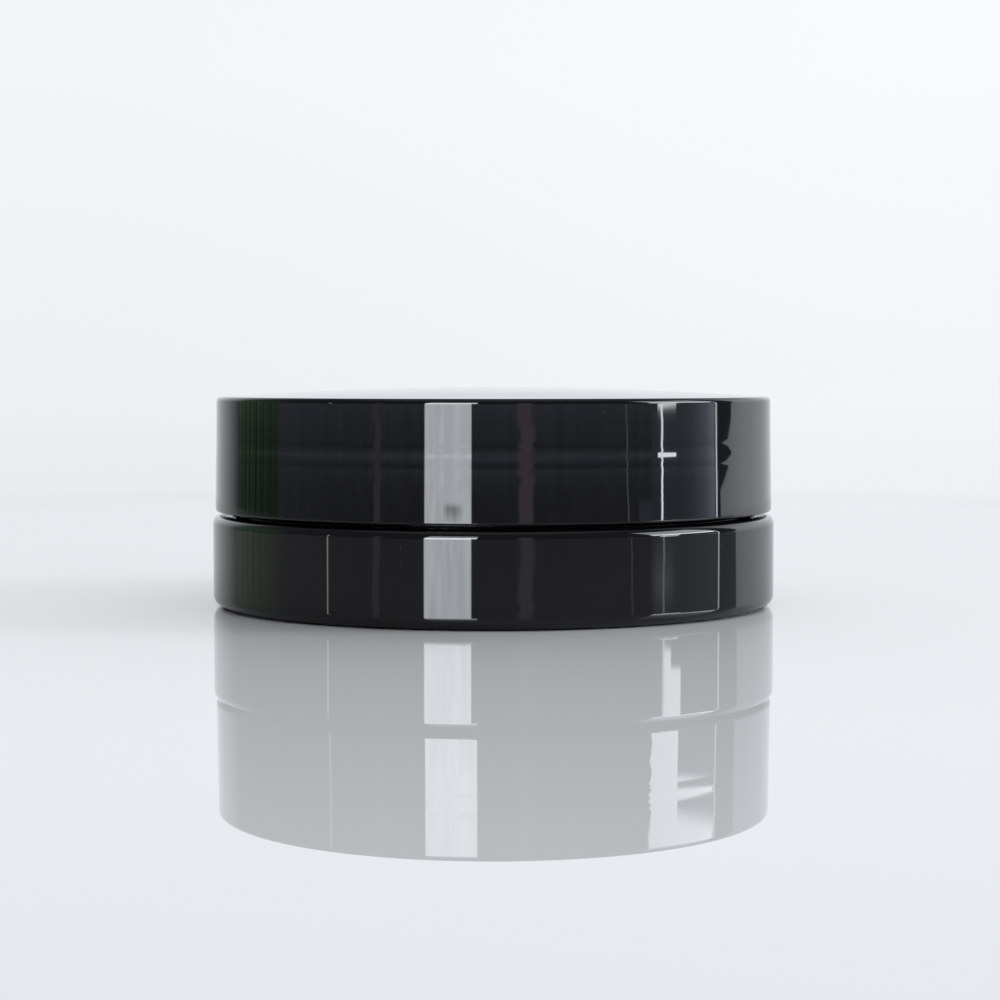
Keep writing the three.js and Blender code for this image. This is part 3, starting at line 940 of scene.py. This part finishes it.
class Studio(Nodes):
    """A new world, and what its painted studio is made of."""

    def __init__(self, name):
        world = bpy.data.worlds.new(name)
        bpy.context.scene.world = world
        world.use_nodes = True
        world.cycles.sampling_method = "NONE"  # each kind of ray finds its own light, so none is aimed
        super().__init__(world.node_tree, "Generated")
        self.x, y, z = self.axes()
        behind = self.number("MULTIPLY", y, -1)
        self.azimuth = self.number("DEGREES", self.number("ARCTAN2", self.x, behind))
        self.elevation = self.number("DEGREES", self.number("ARCSINE", z))

    def between(self, value, limits, softness):
        """1 between the limits and 0 outside them."""
        rise = self.ramp(value, limits[0] - softness, limits[0] + softness)
        fall = self.ramp(value, limits[1] - softness, limits[1] + softness, 1, 0)
        return self.number("MULTIPLY", rise, fall)

    def profile(self, value, stops):
        """Straight lines between (value, result) stops, level before the first and after the last."""
        result = stops[0][1]
        for (start, low), (end, high) in zip(stops, stops[1:]):
            result = self.number("ADD", self.ramp(value, start, end, 0, high - low, "LINEAR"), result)
        return result

    def line_noise(self, value, scale):
        """From -1 to 1, along one number."""
        node = self.node("ShaderNodeTexNoise", noise_dimensions="1D")
        self.fill(node.inputs["W"], value)
        self.fill(node.inputs["Scale"], scale)
        return self.ramp(node.outputs["Fac"], *LINE_NOISE_LEVELS, -1, 1, "LINEAR")

    def mottled(self, value, amount):
        """A value that varies by up to so much of itself, in soft patches."""
        change = self.ramp(self.noise(MOTTLE_SIZE), *NOISE_LEVELS, 1 - amount, 1 + amount, "LINEAR")
        return self.number("MULTIPLY", value, change)

    def card_mask(self, card):
        """1 where the card is and 0 around it."""
        azimuth = self.azimuth
        if card.leaning:
            height = self.number("MINIMUM", self.number("ABSOLUTE", self.elevation), LEAN_END)
            azimuth = self.number("SUBTRACT", azimuth, self.number("MULTIPLY", height, LEAN))
        if card.wedge:
            azimuth = self.number("ADD", azimuth, self.profile(self.elevation, WEDGE))
        if card.ragged:
            shift = self.number("MULTIPLY", self.line_noise(self.elevation, RAGGED_SCALE), card.ragged)
            azimuth = self.number("ADD", azimuth, shift)
        return self.number("MULTIPLY", self.between(azimuth, card.azimuths, card.side_softness),
                           self.between(self.elevation, card.elevations, card.end_softness))

    def card_light(self, card):
        """The colour and strength of the card's light."""
        strength = self.profile(self.elevation, card.radiance)
        if card.across:
            strength = self.number("MULTIPLY", strength, self.profile(self.azimuth, card.across))
        if card.streaks:
            change = self.number("MULTIPLY", self.line_noise(self.azimuth, STREAK_SCALE), card.streaks)
            strength = self.number("MULTIPLY", strength, self.number("ADD", change, 1))
        if card.mottle:
            strength = self.mottled(strength, card.mottle)
        return self.scaled(card.colour, strength)


def studio_room(studio):
    """What gloss mirrors: a dark room with the cards painted over it."""
    dimness = studio.mottled(studio.profile(studio.elevation, ROOM_RADIANCE), ROOM_MOTTLE)
    room = studio.scaled(ROOM_COLOUR, dimness)
    for card in STUDIO:
        room = studio.mix(studio.card_mask(card), room, studio.card_light(card))
    return room


def studio_light():
    """Paints the world: gloss mirrors the room, and the camera sees a pale backdrop on every side."""
    studio = Studio("studio")
    height = studio.ramp(studio.elevation, 0, BACKDROP_TOP, BACKDROP_LOW, BACKDROP_HIGH, "LINEAR")
    side = studio.ramp(studio.x, -SIDE_CHANGE_AT, SIDE_CHANGE_AT, *SIDE_CHANGE)
    backdrop = studio.scaled(BACKDROP_TINT, studio.number("ADD", height, side))
    sky_level = studio.ramp(studio.x, -1, 1, SKY * (1 - SKY_TILT), SKY * (1 + SKY_TILT), "LINEAR")
    sky = studio.scaled((1, 1, 1), sky_level)
    rays = studio.node("ShaderNodeLightPath").outputs
    seen = studio.mix(rays["Is Camera Ray"], sky, backdrop)
    light = studio.mix(rays["Is Glossy Ray"], seen, studio_room(studio))

    # The table, the only perfect mirror, shows the camera nothing but the backdrop and the jar.
    mirrored = studio.number("ADD", studio.profile(studio.elevation, TABLE_MIRRORS), side)
    one_mirror = studio.number("LESS_THAN", rays["Ray Depth"], ONE_MIRROR_DEPTH)
    in_table = studio.number("MULTIPLY", rays["Is Singular Ray"], one_mirror)
    light = studio.mix(in_table, light, studio.scaled(BACK_COLOUR, mirrored))
    studio.fill(studio.tree.nodes["Background"].inputs["Color"], light)


def side_lamp():
    """A wide, distant lamp low on the right. With the sky it lights an open floor to its own colour."""
    elevation = math.radians(LAMP_ELEVATION)
    lamp = bpy.data.lights.new("side_lamp", "SUN")
    lamp.angle = math.radians(LAMP_WIDTH)
    lamp.energy = math.pi * (1 - SKY) / math.sin(elevation)
    holder = bpy.data.objects.new("side_lamp", lamp)
    bpy.context.scene.collection.objects.link(holder)
    holder.rotation_euler = (0, math.pi / 2 - elevation, 0)
    holder.visible_glossy = False
    holder.visible_camera = False


def camera():
    """The viewpoint: a little above the jar and far enough away for a flat perspective."""
    lens = bpy.data.cameras.new("camera")
    lens.lens = CAMERA_LENS_MM
    lens.sensor_width = CAMERA_SENSOR_MM
    lens.clip_start = MM
    viewpoint = bpy.data.objects.new("camera", lens)
    bpy.context.scene.collection.objects.link(viewpoint)
    viewpoint.location = (0, -CAMERA_DISTANCE, CAMERA_HEIGHT)
    viewpoint.rotation_euler = (math.pi / 2 - CAMERA_PITCH, 0, -CAMERA_YAW)
    bpy.context.scene.camera = viewpoint


# ---------------------------------------------------------------- assembly


def finish(piece, material):
    """Gives a piece its material."""
    piece.data.materials.append(material)


def place(piece, body, slot, material, node=None):
    """Gives a piece its finish and its body, and puts it in the place of a CAD node if it has one."""
    finish(piece, material)
    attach(piece, body)
    if node:
        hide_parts(node)
    return piece


camera()
bpy.context.scene.view_settings.view_transform = "Standard"
studio_light()
side_lamp()
floor()

black = gloss_black()
satin = satin_black()
natural = natural_white()
foam = white_foam()

place(outer_shell(), "jar", "gloss_black", black, "outer_shell")
place(inner_cup(), "jar", "satin_black", satin, "inner_cup")
place(base_plate(), "jar", "satin_black", satin, "base_plate")
place(lid(), "lid", "gloss_black", black, "lid")
liner = place(lid_liner(), "liner", "white_foam", foam, "lid_liner")
place(sealing_disc(), "seal", "natural_white", natural, "sealing_disc")
place(hinge_bar(), "seal", "natural_white", natural)
place(disc_tab(), "tab", "natural_white", natural, "disc_tab")
film = hinge_film()
finish(film, natural)
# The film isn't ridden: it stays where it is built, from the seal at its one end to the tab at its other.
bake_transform(film)
